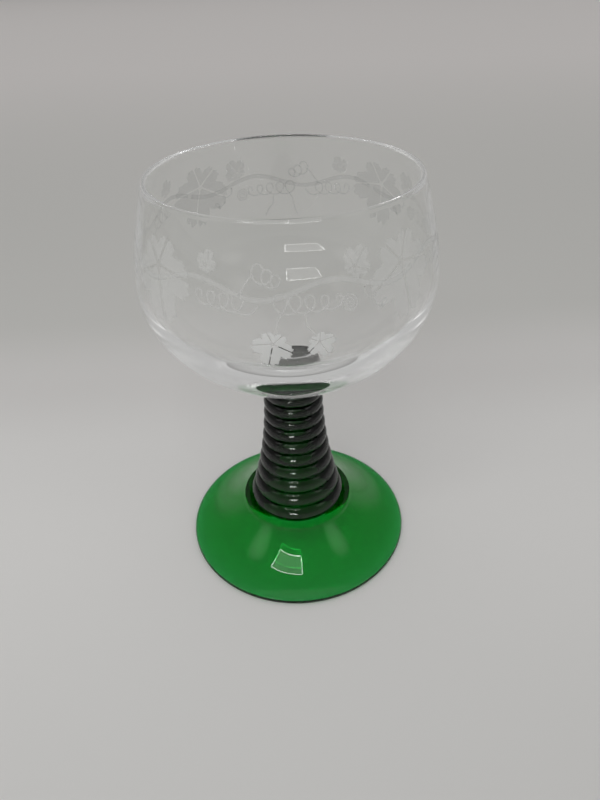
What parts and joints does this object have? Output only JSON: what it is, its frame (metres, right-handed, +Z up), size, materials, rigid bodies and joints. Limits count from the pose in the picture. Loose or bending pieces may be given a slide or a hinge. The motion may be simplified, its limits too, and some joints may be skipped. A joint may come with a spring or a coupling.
{
  "type": "wine glass",
  "caption": "Roemer wine glass: a clear rounded bowl with an inward lip, on a hollow ringed green stem and a flared hollow green foot.",
  "frame": {"origin": "centre of the circle that the foot stands on", "axes": "+Z up along the glass's axis, from the foot to the lip; the glass is round, so X and Y are any two level directions"},
  "size_m": [0.0854, 0.0854, 0.132],
  "materials": {
    "clear_glass": "clear, fire polished, with a frosted vine leaf pattern around the bowl",
    "stem_green_glass": "bottle green, smooth rings",
    "foot_green_glass": "bottle green, fire polished"
  },
  "bodies": {
    "root": {"bowl": "clear_glass", "stem": "stem_green_glass", "foot": "foot_green_glass"}
  },
  "joints": []
}
